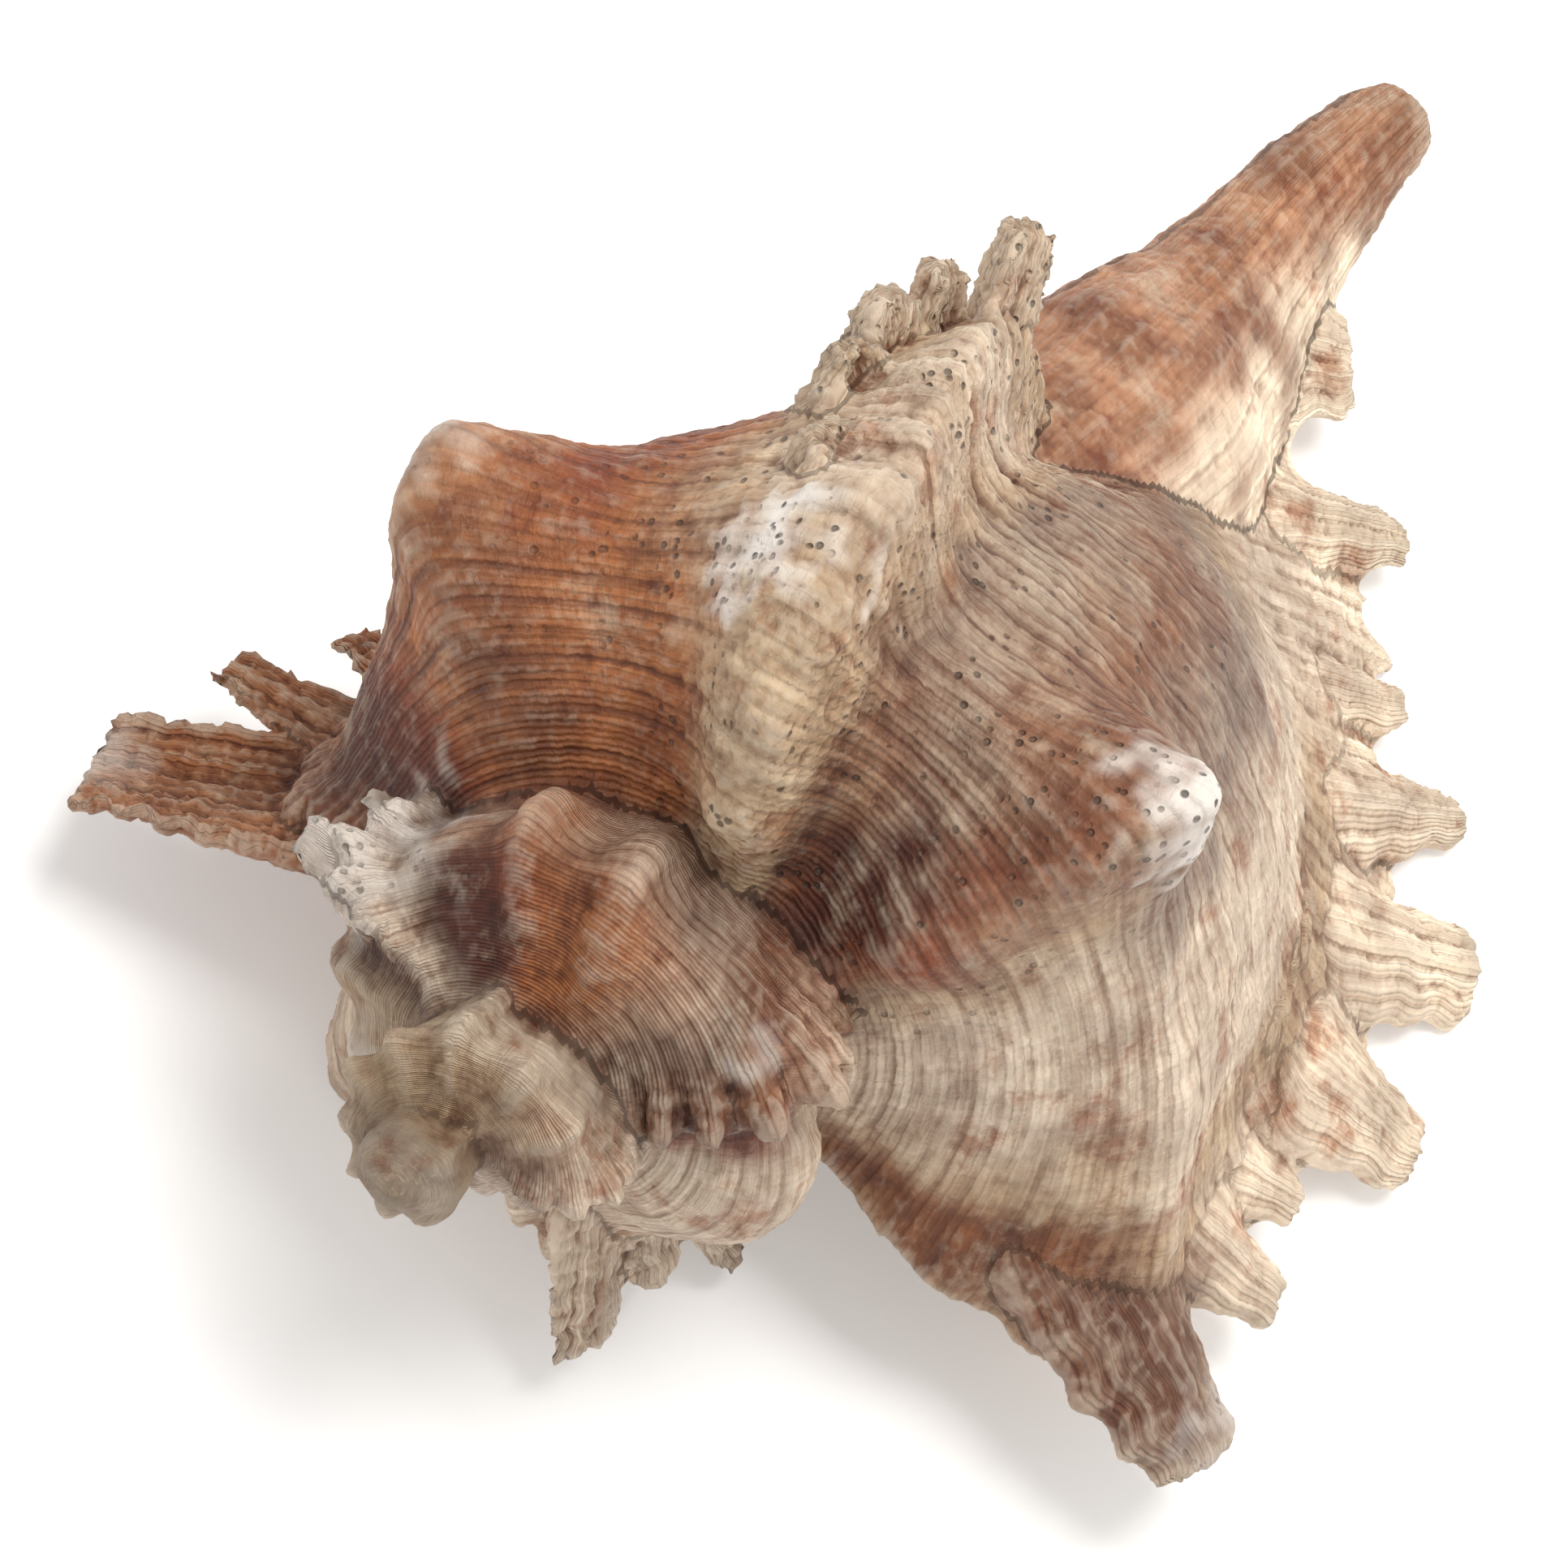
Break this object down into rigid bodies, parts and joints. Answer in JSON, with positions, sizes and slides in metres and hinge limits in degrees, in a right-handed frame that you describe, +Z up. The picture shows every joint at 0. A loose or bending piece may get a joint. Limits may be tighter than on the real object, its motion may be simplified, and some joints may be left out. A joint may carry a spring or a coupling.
{
  "type": "murex shell",
  "caption": "Spined sea snail shell with a stepped spire, folded frond spines on thick lip ridges, an open mouth underneath and a long canal; lies on a surface as an ornament.",
  "frame": {"origin": "centre of the bounding box in plan, at the level of the surface the shell lies on", "axes": "+X along the coiling axis in plan, from the spire's tip towards the siphonal canal; +Z up, with the mouth underneath; +Y completes a right-handed frame, away from the lip"},
  "size_m": [0.1592, 0.1058, 0.0763],
  "materials": {
    "shell_lime": "matt, chalky where worn, slightly glossy round the mouth"
  },
  "bodies": {
    "root": {"murex_shell": "shell_lime"}
  },
  "joints": []
}
